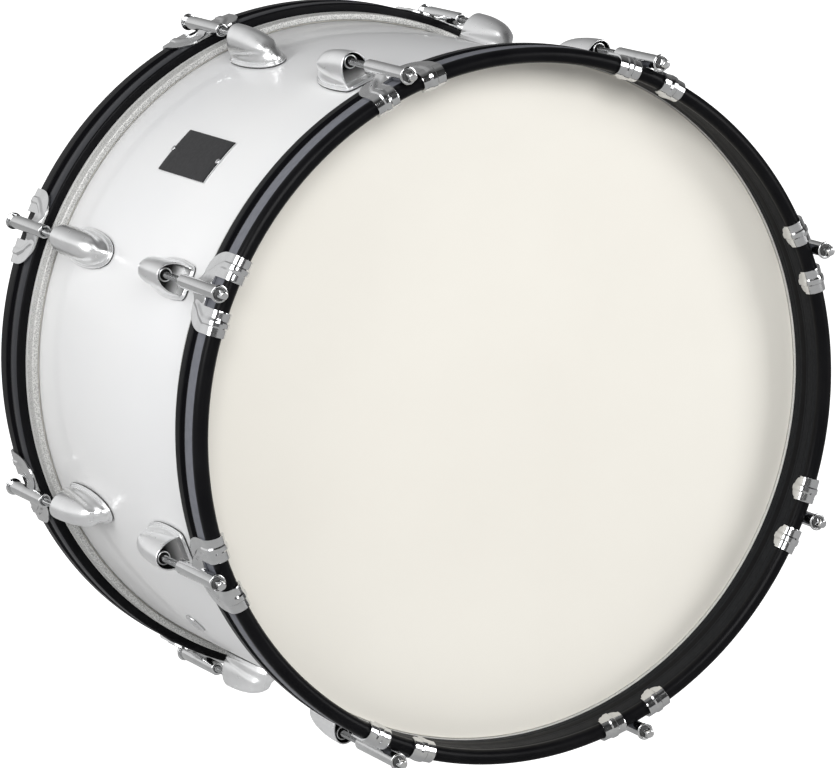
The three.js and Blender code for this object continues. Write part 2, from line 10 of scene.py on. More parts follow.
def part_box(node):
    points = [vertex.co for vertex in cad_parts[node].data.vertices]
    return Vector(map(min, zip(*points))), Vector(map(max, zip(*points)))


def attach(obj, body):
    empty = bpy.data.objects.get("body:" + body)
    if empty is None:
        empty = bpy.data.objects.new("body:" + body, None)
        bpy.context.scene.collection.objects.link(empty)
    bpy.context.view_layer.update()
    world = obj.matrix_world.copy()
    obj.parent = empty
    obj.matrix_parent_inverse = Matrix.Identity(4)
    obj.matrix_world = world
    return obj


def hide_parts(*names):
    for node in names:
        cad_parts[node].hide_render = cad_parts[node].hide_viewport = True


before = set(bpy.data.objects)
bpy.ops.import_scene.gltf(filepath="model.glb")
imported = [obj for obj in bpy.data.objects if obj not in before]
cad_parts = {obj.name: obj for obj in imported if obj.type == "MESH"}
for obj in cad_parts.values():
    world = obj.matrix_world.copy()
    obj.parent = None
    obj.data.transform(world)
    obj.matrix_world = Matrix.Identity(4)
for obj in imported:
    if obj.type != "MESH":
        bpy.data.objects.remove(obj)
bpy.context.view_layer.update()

MM = 0.001
SIDES = {"rear": 0.0, "front": math.pi}
POSTS = 8
FIRST_POST = math.radians(22.5)
FULL_TURN = 2 * math.pi
RING_STEPS = 288
ARC_STEPS = 6


# Sizes read from the frame
def half_height(node):
    low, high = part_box(node)
    return (high.z - low.z) / 2 / MM


def stations(node):
    low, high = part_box(node)
    return low.y / MM, high.y / MM


AXIS_HEIGHT = half_height("rear_hoop")
HOOP_OUTER = half_height("rear_hoop")
HOOP_REAR, HOOP_FRONT = stations("rear_hoop")
FLESH_OUTER = half_height("rear_flesh_hoop")
FLESH_REAR, FLESH_FRONT = stations("rear_flesh_hoop")
COLLAR_END, FILM_FACE = stations("rear_head")
WRAP_OUTER = half_height("shell_wrap")
WRAP_HALF = stations("shell_wrap")[1]

# Camera, as it stood in the photograph: place in metres, sensor and lens in millimetres
CAMERA_AZIMUTH = math.radians(-28.019)
CAMERA_ELEVATION = math.radians(10.634)
CAMERA_ROLL = math.radians(0.840)
CAMERA_DISTANCE = 4.0269
CAMERA_AIM = Vector((0.00532, 0.00031, 0.28110))
SENSOR_WIDTH = 36.0
LENS = 206.32

# Floor in metres: the plane that is seen, and the one that throws light back on the drum
FLOOR_REACH = 30.0
FLOOR_SHADE = 0.86
FLOOR_GLOW = 1.0
BOUNCE_SHADE = 0.6
BOUNCE_GLOW = 0.3

# Soft lights: place and size in metres, and power in watts
LIGHT_AIM = (0, 0, 0.3)
LIGHTS = {
    "key": ((-1.6, -4.1, 2.5), (3.0, 2.0), 146),
    "fill": ((3.2, -3.4, 1.6), (2.0, 2.4), 88),
    "side": ((-4.2, -0.5, 1.8), (2.6, 2.6), 98),
    "top": ((0.3, 0.4, 4.2), (5.0, 5.0), 6),
}

# World brightness along an axis: start, end, and the levels there
WORLD_LEVELS = {
    "X": (-0.3, 0.45, 1.15, 0.35), "Y": (-0.5, 0.15, 0.08, 0.74), "Z": (0.15, 0.9, 1.0, 0.4),
}

# Hoop
HOOP_THICKNESS = 12.7
HOOP_EDGE_RADIUS = HOOP_THICKNESS / 2
HOOP_EDGE_CENTRE = HOOP_FRONT - HOOP_EDGE_RADIUS
HOOP_MIDDLE = HOOP_OUTER - HOOP_EDGE_RADIUS
HOOP_INNER = HOOP_OUTER - HOOP_THICKNESS
HOOP_CORNER = 1.8
CHANNEL_DEPTH = 0.7
CHANNELS = {"front": (165.0, 173.8), "rear": (170.2, 180.2)}
STRIPES = {"front": (174.6, 188.4), "rear": (157.4, 169.2)}
STRIPE_PROUD = 0.15
# Stripe tone per side: one slate inlay, painted lighter on the front hoop and darker on the rear
# one as painted light and shade.
STRIPE_TONES_WITH_PAINTED_LIGHT = {"front": 0.15, "rear": 0.034}
HOOP_ARC_STEPS = 24
EDGE_STEP = 0.45
WALL_LINES = (9, 21, 29)
WALL_LINE_HALF = 0.4
WALL_LINE_DEPTH = 0.25

# Flesh hoop
FLESH_CORNER = 1.2
FLESH_LINE_DEPTH = 0.45
FLESH_LINE_WIDTH = 0.7

# Head
FILM_WALL = 0.25
FILM_BEND = 1.0
FILM_COLLAR = 280.15
FILM_SKIN = FILM_FACE - 0.02

# Over the film: radius, and how far it has dropped there
FILM_DROPS = [(0, 0), (90, 0), (180, 0), (250, 0), (266, 0.02), (270, 0.12), (273, 0.2)]

# Wrap
WRAP_WALL = 0.6

# Rods and sleeves
ROD_AXIS = HOOP_OUTER + 6.5
ROD_RADIUS = 2.75
THREAD_PITCH = 1.0583
THREAD_DEPTH = 0.38
SLEEVE_RADIUS = 5.75
SLEEVE_BORE = 3.3
SLEEVE_REAR = 135.3
SLEEVE_FRONT = 200.3
WASHER_RADIUS = 7.25
WASHER_START = 200.6
WASHER_END = 202.4
KEY_WIDTH = 6.4
KEY_END = 211.4
SHAFT_START = 86.0
SHAFT_END = 201.0
THREAD_START = 98.0
THREAD_END = 142.0

# Lugs
LUG_SEAT = 279.7
LUG_NOSE = 38.5
LUG_END = 111.0
LUG_FACE = 105.5
FLANGE_HALF = 16.5
FLANGE_END_HALF = 14.8
FLANGE_WIDEST = 84.0
FLANGE_CORNER = 6.0
CORNER_SHARE = 0.12
WIDEST_SHARE = 0.3
EGG_FULLNESS = 0.92
BODY_INSET = 2.4
NOSE_SHARE = 0.84
WALL_HOLLOW = 1.1
NUT_BORE = 2.9
NUT_FACE = 4.5
NUT_RADIUS = 5.8
SWELL = 0.5
RIM_LEVELS = [
    (0.1, 0.3), (0.4, 0.55), (0.8, 0.6), (1.15, 0.4), (1.3, 0.0), (1.35, -0.5), (1.4, -8.0),
]

# Badge, its nails and the vent eyelet
BADGE_ANGLE = 136.5
BADGE_STATION = -3.0
BADGE_LENGTH = 86.0
BADGE_HALF_SWEEP = 4.35
BADGE_SEAT = 280.0
BADGE_THICKNESS = 1.1
BADGE_CORNER = 1.2
BADGE_BEVEL = (0.0, 0.25, 0.6, 1.4)
NAIL_INSET = 1.2
VENT_ANGLE = 226.0
VENT_STATION = 12.0
VENT_SEAT = 279.8
VENT_ROLL_SEAT = 270.0
VENT_FLANGE = 10.3
VENT_BORE = 5.5
VENT_ROLL = 9.0
VENT_CUT = 6.9
VENT_THROAT = VENT_BORE + 0.3
DRILL_START, DRILL_END = 260, 300

# Claws
CLAW_GAP = 0.3
PLATE_SEAT = HOOP_OUTER + CLAW_GAP
PLATE_THICKNESS = 2.2
PLATE_REAR = HOOP_REAR + 1.0
WINDOW_HALF = 12.2
WINDOW_REAR = PLATE_REAR + 18.5
EAR_HALF = 33.0
EAR_CORNER_END = PLATE_REAR + 24.0
STRAP_MIDDLE = 22.7
TAB_END = HOOP_FRONT - 12.0
TAB_SHARE = 0.86


# Camera
def make_camera():
    data = bpy.data.cameras.new("camera")
    data.sensor_width = SENSOR_WIDTH
    data.lens = LENS
    data.clip_start, data.clip_end = 0.1, 100
    camera = bpy.data.objects.new("camera", data)
    flat = math.cos(CAMERA_ELEVATION)
    back = Vector((
        math.sin(CAMERA_AZIMUTH) * flat,
        -math.cos(CAMERA_AZIMUTH) * flat,
        math.sin(CAMERA_ELEVATION),
    ))
    level = Vector((0, 0, 1)).cross(back).normalized()
    upright = back.cross(level)
    right = level * math.cos(CAMERA_ROLL) + upright * math.sin(CAMERA_ROLL)
    up = back.cross(right)
    turn = Matrix((right, up, back)).transposed().to_4x4()
    camera.matrix_world = Matrix.Translation(CAMERA_AIM + back * CAMERA_DISTANCE) @ turn
    bpy.context.scene.collection.objects.link(camera)
    bpy.context.scene.camera = camera


# Node helpers
class Finish:
    """A procedural material with a Principled shader and object coordinates."""

    def __init__(self, name, colour, rough, metal=0.0, coat=0.0, coat_rough=0.05, ior=1.5):
        self.material = bpy.data.materials.new(name)
        self.material.use_nodes = True
        self.tree = self.material.node_tree
        self.shader = self.tree.nodes["Principled BSDF"]
        self.place = self.node("ShaderNodeTexCoord").outputs["Object"]
        self.set("Base Color", (*colour, 1))
        self.set("Roughness", rough)
        self.set("Metallic", metal)
        self.set("Coat Weight", coat)
        self.set("Coat Roughness", coat_rough)
        self.set("IOR", ior)
        self.normal = None

    def set(self, socket, value):
        self.shader.inputs[socket].default_value = value

    def node(self, kind, **values):
        made = self.tree.nodes.new(kind)
        for name, value in values.items():
            setattr(made, name, value)
        return made

    def link(self, output, target):
        self.tree.links.new(output, target)

    def stretched(self, stretch):
        mapping = self.node("ShaderNodeMapping")
        mapping.inputs["Scale"].default_value = stretch
        self.link(self.place, mapping.inputs["Vector"])
        return mapping.outputs["Vector"]

    def noise(self, scale, detail=3.0, stretch=(1, 1, 1), rough=0.5):
        noise = self.node("ShaderNodeTexNoise")
        noise.inputs["Scale"].default_value = scale
        noise.inputs["Detail"].default_value = detail
        noise.inputs["Roughness"].default_value = rough
        self.link(self.stretched(stretch), noise.inputs["Vector"])
        return noise.outputs["Fac"]

    def ramp(self, source, stops):
        ramp = self.node("ShaderNodeValToRGB")
        elements = ramp.color_ramp.elements
        while len(elements) < len(stops):
            elements.new(0.5)
        for element, (position, value) in zip(elements, stops):
            element.position = position
            element.color = value if len(value) == 4 else (*value, 1)
        self.link(source, ramp.inputs["Fac"])
        return ramp.outputs["Color"]

    def level(self, source, low, high):
        spread = self.node("ShaderNodeMapRange")
        spread.inputs["To Min"].default_value = low
        spread.inputs["To Max"].default_value = high
        self.link(source, spread.inputs["Value"])
        return spread.outputs["Result"]

    def vary_rough(self, source, low, high):
        self.link(self.level(source, low, high), self.shader.inputs["Roughness"])

    def vary_colour(self, source, dark, light):
        stops = [(0.25, dark), (0.75, light)]
        self.link(self.ramp(source, stops), self.shader.inputs["Base Color"])

    def bump(self, source, strength, distance):
        bump = self.node("ShaderNodeBump")
        bump.inputs["Strength"].default_value = strength
        bump.inputs["Distance"].default_value = distance
        self.link(source, bump.inputs["Height"])
        if self.normal is not None:
            self.link(self.normal, bump.inputs["Normal"])
        self.normal = bump.outputs["Normal"]
        self.link(self.normal, self.shader.inputs["Normal"])


def white_wrap():
    made = Finish("white_wrap", (0.78, 0.785, 0.79), 0.3, coat=0.25, coat_rough=0.05)
    made.vary_colour(made.noise(5, 4), (0.77, 0.775, 0.785), (0.82, 0.82, 0.815))
    made.vary_rough(made.noise(40, 3), 0.28, 0.4)
    made.bump(made.noise(9, 2), 0.05, 0.001)
    return made.material


def head_film():
    made = Finish("head_film", (0.86, 0.83, 0.76), 0.5)
    made.vary_colour(made.noise(3, 4), (0.83, 0.8, 0.73), (0.885, 0.86, 0.79))
    made.vary_rough(made.noise(60, 4), 0.42, 0.56)
    made.bump(made.noise(1500, 2), 0.06, 0.0003)
    return made.material


def hoop_lacquer():
    made = Finish("hoop_lacquer", (0.006, 0.006, 0.007), 0.3)
    made.set("Specular IOR Level", 0.08)
    made.vary_colour(made.noise(30, 5), (0.0028, 0.0028, 0.0036), (0.006, 0.006, 0.0068))
    made.vary_rough(made.noise(90, 4), 0.24, 0.4)
    made.bump(made.noise(900, 3), 0.05, 0.0002)
    return made.material


def hoop_stripe(side, shade):
    # The shade given holds painted light: the front and rear stripes are lighter and darker
    # copies of one slate inlay.
    made = Finish(f"{side}_stripe", (shade, shade * 1.04, shade * 1.2), 0.45)
    made.set("Specular IOR Level", 0.12)
    dark, light = shade * 0.88, shade * 1.12
    dark_slate = (dark, dark * 1.04, dark * 1.2)
    made.vary_colour(made.noise(200, 4), dark_slate, (light, light * 1.03, light * 1.16))
    made.vary_rough(made.noise(400, 3), 0.36, 0.48)
    made.bump(made.noise(1600, 2), 0.08, 0.0002)
    return made.material


def hoop_satin():
    made = Finish("hoop_satin", (0.012, 0.013, 0.015), 0.5)
    made.set("Specular IOR Level", 0.05)
    made.vary_colour(made.noise(260, 5, (1, 4, 1)), (0.008, 0.0085, 0.01), (0.018, 0.019, 0.021))
    made.vary_rough(made.noise(120, 3), 0.42, 0.58)
    return made.material


def channel_painted_shade():
    # Painted shade: a near black, dull colour for the sheet in the hoop's channel, where the
    # groove falls in shadow.
    made = Finish("channel_painted_shade", (0.003, 0.003, 0.004), 0.8)
    made.set("Specular IOR Level", 0.02)
    made.vary_colour(made.noise(200, 3), (0.002, 0.002, 0.003), (0.004, 0.004, 0.005))
    return made.material


def flesh_ring():
    made = Finish("flesh_ring", (0.7, 0.7, 0.69), 0.4, metal=0.3)
    dots = made.noise(900, 3, (1, 1.6, 1))
    split = made.node("ShaderNodeSeparateXYZ")
    made.link(made.place, split.inputs["Vector"])
    station = made.node("ShaderNodeMapRange")
    station.inputs["From Min"].default_value = (FLESH_FRONT - 5.5) * MM
    station.inputs["From Max"].default_value = (FLESH_FRONT - 3.5) * MM
    made.link(split.outputs["Y"], station.inputs["Value"])
    mix = made.node("ShaderNodeMix", data_type="RGBA")
    made.link(station.outputs["Result"], mix.inputs["Factor"])
    dotted = made.ramp(dots, [(0.35, (0.34, 0.34, 0.335)), (0.6, (0.68, 0.68, 0.66))])
    plain = made.ramp(dots, [(0.35, (0.66, 0.66, 0.645)), (0.65, (0.8, 0.8, 0.785))])
    made.link(dotted, mix.inputs["A"])
    made.link(plain, mix.inputs["B"])
    made.link(mix.outputs["Result"], made.shader.inputs["Base Color"])
    made.vary_rough(made.noise(300, 4), 0.34, 0.55)
    made.bump(dots, 0.3, 0.0003)
    return made.material


def cast_chrome():
    made = Finish("cast_chrome", (0.93, 0.935, 0.94), 0.3, metal=1.0)
    made.vary_colour(made.noise(60, 4), (0.9, 0.905, 0.91), (0.96, 0.965, 0.97))
    made.vary_rough(made.noise(180, 4), 0.24, 0.34)
    made.bump(made.noise(60, 2), 0.03, 0.0006)
    return made.material


def cast_pocket_painted_shade():
    # Painted shade inside the lug's open face: the colour runs from light near the seat to near
    # black under the crown.
    made = Finish("cast_pocket_painted_shade", (0.2, 0.2, 0.205), 0.42, metal=1.0)
    split = made.node("ShaderNodeSeparateXYZ")
    made.link(made.place, split.inputs["Vector"])
    height = made.node("ShaderNodeMapRange")
    height.inputs["From Min"].default_value = (LUG_SEAT + 3.0) * MM
    height.inputs["From Max"].default_value = (LUG_SEAT + 24.0) * MM
    made.link(split.outputs["Z"], height.inputs["Value"])
    stops = [(0.0, (0.62,) * 3), (0.3, (0.22,) * 3), (0.55, (0.02,) * 3)]
    shade = made.ramp(height.outputs["Result"], stops)
    made.link(shade, made.shader.inputs["Base Color"])
    made.vary_rough(made.noise(200, 3), 0.34, 0.5)
    return made.material


def bright_chrome():
    made = Finish("bright_chrome", (0.68, 0.685, 0.69), 0.1, metal=1.0)
    made.vary_colour(made.noise(90, 4), (0.64, 0.645, 0.65), (0.72, 0.725, 0.73))
    made.vary_rough(made.noise(240, 4), 0.1, 0.17)
    made.bump(made.noise(40, 2), 0.015, 0.0005)
    return made.material


def rod_steel():
    made = Finish("rod_steel", (0.42, 0.43, 0.44), 0.2, metal=1.0)
    made.vary_colour(made.noise(300, 4), (0.36, 0.365, 0.37), (0.5, 0.505, 0.51))
    made.vary_rough(made.noise(500, 3), 0.14, 0.3)
    return made.material


def gasket_and_painted_shade():
    # Dark colour of the lug gaskets and the rod's collar; on the vent eyelet's throat it is
    # painted shade.
    made = Finish("gasket_and_painted_shade", (0.05, 0.05, 0.05), 0.6)
    made.vary_colour(made.noise(300, 3), (0.035, 0.035, 0.036), (0.07, 0.07, 0.07))
    return made.material


def badge_face():
    made = Finish("badge_face", (0.03, 0.03, 0.032), 0.4, metal=0.3)
    made.set("Specular IOR Level", 0.25)
    made.vary_colour(made.noise(500, 4, (1, 8, 1)), (0.014, 0.014, 0.016), (0.028, 0.028, 0.03))
    made.vary_rough(made.noise(300, 4), 0.32, 0.5)
    return made.material


def maple_ply():
    made = Finish("maple_ply", (0.5, 0.33, 0.18), 0.6)
    grain = made.noise(30, 6, (1, 0.08, 1))
    made.vary_colour(grain, (0.42, 0.26, 0.13), (0.6, 0.42, 0.25))
    made.bump(grain, 0.2, 0.0005)
    return made.material


# Mesh helpers
def ease(value):
    value = min(max(value, 0.0), 1.0)
    return value * value * (3 - 2 * value)


def rounded(corners, steps=ARC_STEPS):
    """Points of a closed outline whose corners are (across, along, radius)."""
    points = []
    count = len(corners)
    for index, (across, along, radius) in enumerate(corners):
        here = Vector((across, along))
        if radius <= 0:
            points.append(here)
            continue
        before = Vector(corners[index - 1][:2]) - here
        after = Vector(corners[(index + 1) % count][:2]) - here
        spread = before.angle(after)
        reach = radius / math.tan(spread / 2)
        start = here + before.normalized() * reach
        end = here + after.normalized() * reach
        centre = here + (before.normalized() + after.normalized()).normalized() * (
            radius / math.sin(spread / 2)
        )
        turn = math.atan2(*(start - centre).yx)
        sweep = math.atan2(*(end - centre).yx) - turn
        sweep = (sweep + math.pi) % FULL_TURN - math.pi
        for step in range(steps + 1):
            angle = turn + sweep * step / steps
            points.append(centre + radius * Vector((math.cos(angle), math.sin(angle))))
    return points


def fill(bm, rows, closed_rows=False, closed_columns=False):
    """Joins rows of vertices with faces."""
    row_count = len(rows)
    for index in range(row_count if closed_rows else row_count - 1):
        lower, upper = rows[index], rows[(index + 1) % row_count]
        count = len(lower)
        for column in range(count if closed_columns else count - 1):
            after = (column + 1) % count
            corners = [lower[column], lower[after], upper[after], upper[column]]
            unique = list(dict.fromkeys(corners))
            if len(unique) > 2:
                bm.faces.new(unique)


def row(bm, points):
    return [bm.verts.new(point) for point in points]


def to_mesh(name, bm, sharp=30.0):
    bmesh.ops.recalc_face_normals(bm, faces=bm.faces[:])
    bmesh.ops.scale(bm, vec=(MM, MM, MM), verts=bm.verts[:])
    mesh = bpy.data.meshes.new(name)
    bm.to_mesh(mesh)
    bm.free()
    mesh.shade_smooth()
    mesh.set_sharp_from_angle(angle=math.radians(sharp))
    return mesh


def lathe(bm, profile, steps=RING_STEPS, height=0.0):
    """Turns a closed (radius, station) outline about a line along Y."""
    rows = []
    for radius, station in profile:
        if radius <= 0:
            rows.append([bm.verts.new((0, station, height))] * steps)
            continue
        points = []
        for step in range(steps):
            angle = FULL_TURN * step / steps
            x, z = radius * math.sin(angle), radius * math.cos(angle)
            points.append((x, station, height + z))
        rows.append(row(bm, points))
    fill(bm, rows, closed_rows=True, closed_columns=True)


def turned(name, profile, **options):
    bm = bmesh.new()
    lathe(bm, profile, **options)
    return to_mesh(name, bm)


def radial(name, profile, steps=48):
    """Turns a closed (radius, height) outline about Z."""
    bm = bmesh.new()
    lathe(bm, profile, steps=steps)
    bmesh.ops.rotate(bm, matrix=Matrix.Rotation(math.pi / 2, 3, "X"), verts=bm.verts[:])
    return to_mesh(name, bm, 40)


def dress(mesh, *materials):
    for material in materials:
        mesh.materials.append(material)


def put(name, mesh, material, body, nodes=(), place=None):
    piece = bpy.data.objects.new(name, mesh)
    bpy.context.scene.collection.objects.link(piece)
    piece.matrix_world = place or Matrix.Identity(4)
    if not mesh.materials:
        mesh.materials.append(material)
    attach(piece, body)
    if nodes:
        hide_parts(*nodes)
    return piece


def side_place(side):
    lift = Matrix.Translation((0, 0, AXIS_HEIGHT * MM))
    return lift @ Matrix.Rotation(SIDES[side], 4, "Z")


def post_place(side, number):
    angle = FIRST_POST + FULL_TURN / POSTS * (number - 1)
    return side_place(side) @ Matrix.Rotation(-angle, 4, "Y")


# Hoop: a band with a channel and the bed of the stripe, and a rounded front edge
def hoop_profile(side):
    channel_start, channel_end = CHANNELS[side]
    stripe_start, stripe_end = STRIPES[side]
    bed, inlay = HOOP_OUTER - CHANNEL_DEPTH, HOOP_OUTER - STRIPE_PROUD
    channel = [
        (HOOP_OUTER, channel_start, 0.3),
        (bed, channel_start + CHANNEL_DEPTH, 0.2),
        (bed, channel_end - CHANNEL_DEPTH, 0.2),
        (HOOP_OUTER, channel_end, 0.3),
    ]
    stripe_bed = [
        (HOOP_OUTER, stripe_start - STRIPE_PROUD, 0),
        (inlay, stripe_start, 0),
        (inlay, stripe_end, 0),
        (HOOP_OUTER, stripe_end + STRIPE_PROUD, 0),
    ]
    steps = channel + stripe_bed if channel_start < stripe_start else stripe_bed + channel
    points = rounded([
        (HOOP_INNER, HOOP_REAR, HOOP_CORNER),
        (HOOP_OUTER, HOOP_REAR, HOOP_CORNER),
        *steps,
        (HOOP_OUTER, HOOP_EDGE_CENTRE, 0),
    ])
    for step in range(1, HOOP_ARC_STEPS + 1):
        angle = math.pi * step / HOOP_ARC_STEPS
        points.append(Vector((
            HOOP_MIDDLE + HOOP_EDGE_RADIUS * math.cos(angle),
            HOOP_EDGE_CENTRE + HOOP_EDGE_RADIUS * math.sin(angle),
        )))
    wall = HOOP_INNER + EDGE_STEP
    inner = [
        (HOOP_INNER, HOOP_EDGE_CENTRE - 1.0, 0),
        (wall, HOOP_EDGE_CENTRE - 1.4, 0),
        (wall, HOOP_REAR + 16, 0),
        (HOOP_INNER, HOOP_REAR + 15, 0),
    ]
    return points + [Vector(corner[:2]) for corner in inner]


def inlay_profile(start, end, outer):
    """A thin ring laid into the hoop between two stations."""
    return rounded([
        (HOOP_OUTER - 1, start, 0),
        (HOOP_OUTER - 1, end, 0),
        (outer, end, 0.1),
        (outer, start, 0.1),
    ], 2)


def wall_profile():
    """Lining of the hoop's inner wall, with three shallow turned lines."""
    inner = HOOP_INNER + EDGE_STEP - 0.05
    corners = [(HOOP_INNER + 1, HOOP_EDGE_CENTRE - 1.6, 0), (HOOP_INNER + 1, FILM_FACE + 0.4, 0)]
    corners.append((inner, FILM_FACE + 0.4, 0.1))
    for distance in WALL_LINES:
        station = FILM_FACE + distance
        corners += [
            (inner, station - WALL_LINE_HALF, 0),
            (inner + WALL_LINE_DEPTH, station, 0),
            (inner, station + WALL_LINE_HALF, 0),
        ]
    corners.append((inner, HOOP_EDGE_CENTRE - 1.6, 0.1))
    return rounded(corners, 2)


def flesh_profile():
    middle = (FLESH_REAR + FLESH_FRONT) / 2
    inner = HOOP_INNER
    corners = [
        (inner, FLESH_REAR, FLESH_CORNER),
        (FLESH_OUTER, FLESH_REAR, FLESH_CORNER),
    ]
    for station in (middle - 2.2, middle + 0.6, middle + 3.4):
        corners += [
            (FLESH_OUTER, station - FLESH_LINE_WIDTH / 2, 0.12),
            (FLESH_OUTER - FLESH_LINE_DEPTH, station, 0.12),
            (FLESH_OUTER, station + FLESH_LINE_WIDTH / 2, 0.12),
        ]
    corners += [
        (FLESH_OUTER, FLESH_FRONT, 0.8),
        (inner, FLESH_FRONT, 0),
    ]
    return rounded(corners, 4)


def film_profile():
    centre = FILM_COLLAR - FILM_BEND
    base = FILM_SKIN - FILM_DROPS[-1][1] - FILM_BEND
    outer, inner = [], []
    for radius, drop in FILM_DROPS:
        outer.append((radius, FILM_SKIN - drop))
        inner.append((radius, FILM_SKIN - drop - FILM_WALL))
    for step in range(ARC_STEPS * 2 + 1):
        angle = math.pi / 2 * step / (ARC_STEPS * 2)
        for points, radius in ((outer, FILM_BEND), (inner, FILM_BEND - FILM_WALL)):
            points.append((centre + radius * math.sin(angle), base + radius * math.cos(angle)))
    outer.append((FILM_COLLAR, COLLAR_END))
    inner.append((FILM_COLLAR - FILM_WALL, COLLAR_END))
    return outer + inner[::-1]


def wrap_profile():
    inner = WRAP_OUTER - WRAP_WALL
    return rounded([
        (inner, -WRAP_HALF, 0),
        (WRAP_OUTER, -WRAP_HALF, 0.2),
        (WRAP_OUTER, WRAP_HALF, 0.2),
        (inner, WRAP_HALF, 0),
    ], 3)


# Lug: an egg shaped flange, and on it a tongue shaped casting with a blunt nose
def egg(inset, share):
    """Side of the flange in plan, from the hoop end (share 0) to the nose (share 1)."""
    half, tip = FLANGE_HALF - inset, LUG_NOSE + inset
    end, end_half = LUG_END - inset, FLANGE_END_HALF - inset
    corner = max(FLANGE_CORNER - inset * 0.6, 0.3)
    if share < CORNER_SHARE:
        angle = math.pi / 2 * (1 - share / CORNER_SHARE)
        return end_half - corner * (1 - math.cos(angle)), end - corner * (1 - math.sin(angle))
    if share < WIDEST_SHARE:
        along = (share - CORNER_SHARE) / (WIDEST_SHARE - CORNER_SHARE)
        station = end - corner + (FLANGE_WIDEST - end + corner) * along
        lean = 1 - (1 - along) ** 2
        return end_half + (half - end_half) * lean, station
    angle = math.pi / 2 * (share - WIDEST_SHARE) / (1 - WIDEST_SHARE)
    across = half * math.cos(angle) ** EGG_FULLNESS
    return across, FLANGE_WIDEST - (FLANGE_WIDEST - tip) * math.sin(angle)


def flange_outline(inset, steps=40):
    half = [egg(inset, k / steps) for k in range(steps + 1)]
    return half + [(-x, y) for x, y in half[-2::-1]]


def slab(bm, levels):
    """A plate over the flange outline, from (inset, height) levels."""
    rows = [
        row(bm, [(x, y, height) for x, y in flange_outline(inset)])
        for inset, height in levels
    ]
    fill(bm, rows, closed_columns=True)
    bm.faces.new(rows[0])
    bm.faces.new(rows[-1])


FLANGE_LEVELS = [
    (0.25, 0.9), (0.0, 1.1), (0.0, 1.9), (0.25, 2.15), (1.1, 2.2),
    (1.25, 2.35), (1.25, 3.0), (1.5, 3.2), (6.0, 3.2),
]
GASKET_LEVELS = [(0.5, 0.0), (0.35, 0.1), (0.35, 0.95), (6.0, 0.95)]

# Along the body: station, half width and height of the crease, height of the crown
BODY_STATIONS = [
    (50.0, 5.6, 15.4, 17.4),
    (53.0, 8.0, 15.6, 20.2),
    (58.0, 9.8, 15.4, 22.9),
    (66.0, 11.2, 14.6, 25.3),
    (78.0, 12.3, 12.9, 27.3),
    (92.0, 12.8, 10.9, 28.5),
    (LUG_FACE, 13.0, 9.0, 28.9),
]
BODY_STEPS = 24
CROWN_STEPS = 9
WALL_STEPS = 8
FOOT_LEVEL = 2.8
STATION_POWER = 1.3
FOOT_POWER = 1.15
WALL_POWER = 1.5


def body_at(station):
    """Half width and height of the crease and height of the crown."""
    rows = BODY_STATIONS
    station = min(max(station, rows[0][0]), rows[-1][0])
    index = 0
    while index < len(rows) - 2 and station > rows[index + 1][0]:
        index += 1

    def slope(at, column):
        low, high = max(at - 1, 0), min(at + 1, len(rows) - 1)
        return (rows[high][column] - rows[low][column]) / (rows[high][0] - rows[low][0])

    here, after = rows[index], rows[index + 1]
    width = after[0] - here[0]
    t = (station - here[0]) / width
    return [
        here[column] * (2 * t**3 - 3 * t**2 + 1)
        + slope(index, column) * width * (t**3 - 2 * t**2 + t)
        + after[column] * (3 * t**2 - 2 * t**3)
        + slope(index + 1, column) * width * (t**3 - t**2)
        for column in (1, 2, 3)
    ]


def crown_section(station):
    """Crown over one station, from one crease to the other: a ridge that turns round."""
    half, low, top = body_at(station)
    tip = BODY_STATIONS[0][0]
    fullness = 1.5 - 0.5 * ease((station - tip) / (LUG_FACE - tip))
    points = []
    for step in range(-CROWN_STEPS, CROWN_STEPS + 1):
        angle = math.pi / 2 * step / CROWN_STEPS
        rise = max(math.cos(angle), 0.0) ** fullness
        points.append(Vector((half * math.sin(angle), station, low + (top - low) * rise)))
    return points


def foot_point(share):
    """Foot of the body: share 0 at the face, 1 at the nose."""
    return egg(BODY_INSET, share)


